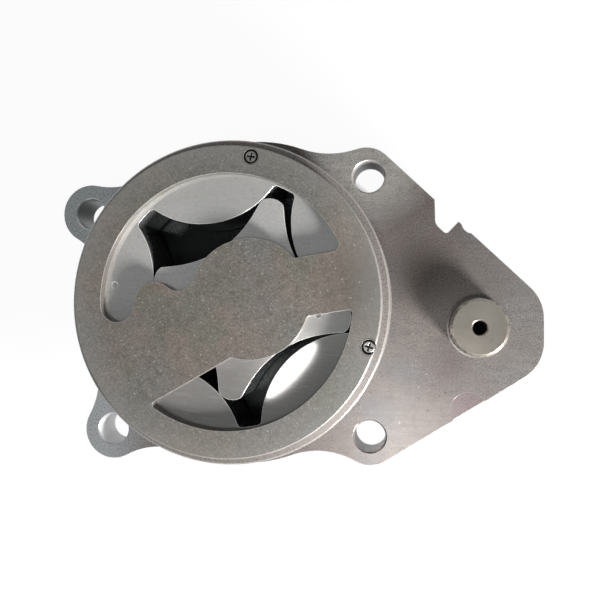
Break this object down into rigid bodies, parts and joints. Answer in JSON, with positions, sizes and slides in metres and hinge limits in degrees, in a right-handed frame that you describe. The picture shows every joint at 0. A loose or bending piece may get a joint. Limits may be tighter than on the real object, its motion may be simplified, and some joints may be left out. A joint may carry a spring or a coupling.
{
  "type": "engine oil pump",
  "caption": "Gerotor oil pump on a flat flange: round spigot, slotted port plate over lobed rotors, drive gear in front, hollow idler pin beside it.",
  "frame": {"origin": "axis of the locating spigot, in the plane of the flange's mounting face", "axes": "+Z leaves the mounting face along the spigot, towards the port plate; +X points towards the idler pin; +Y completes the right-handed frame"},
  "size_m": [0.1407, 0.0942, 0.0517],
  "materials": {
    "housing_iron": "fine-ground cast iron, lightly oiled",
    "plate_iron": "speckled grey-brown phosphated face",
    "rotor_steel": "ground sintered steel",
    "shaft_steel": "ground hardened steel",
    "gear_steel": "cut and case-hardened steel",
    "pin_steel": "ground hardened steel, dull end face",
    "bronze": "plain bearing bronze",
    "washer_steel": "ground steel",
    "spring_steel": "blackened spring steel",
    "screw_steel": "bright plated steel"
  },
  "bodies": {
    "housing": {"pump_housing": "housing_iron", "port_plate": "plate_iron", "port_plate_screw_upper": "screw_steel", "port_plate_screw_side": "screw_steel", "drive_bush_rear": "bronze", "drive_bush_front": "bronze", "drive_thrust_washer": "washer_steel", "idler_pin": "pin_steel"},
    "drive": {"drive_shaft": "shaft_steel", "inner_rotor": "rotor_steel", "rotor_key": "shaft_steel", "drive_gear": "gear_steel", "drive_gear_key": "shaft_steel", "drive_gear_washer": "washer_steel", "drive_retaining_ring": "spring_steel"},
    "outer_ring": {"outer_rotor": "rotor_steel"}
  },
  "joints": [
    {"name": "drive_spin", "type": "hinge", "parent": "housing", "child": "drive", "pos_m": [0.00689, 0.00066, 0], "axis": [0, 0, 1], "continuous": true},
    {"name": "outer_ring_spin", "type": "hinge", "parent": "housing", "child": "outer_ring", "pos_m": [0.00105, -0.00015, 0], "axis": [0, 0, 1], "continuous": true}
  ],
  "couplings": [
    {"joint": "outer_ring_spin", "follows": "drive_spin", "ratio": 0.8}
  ]
}
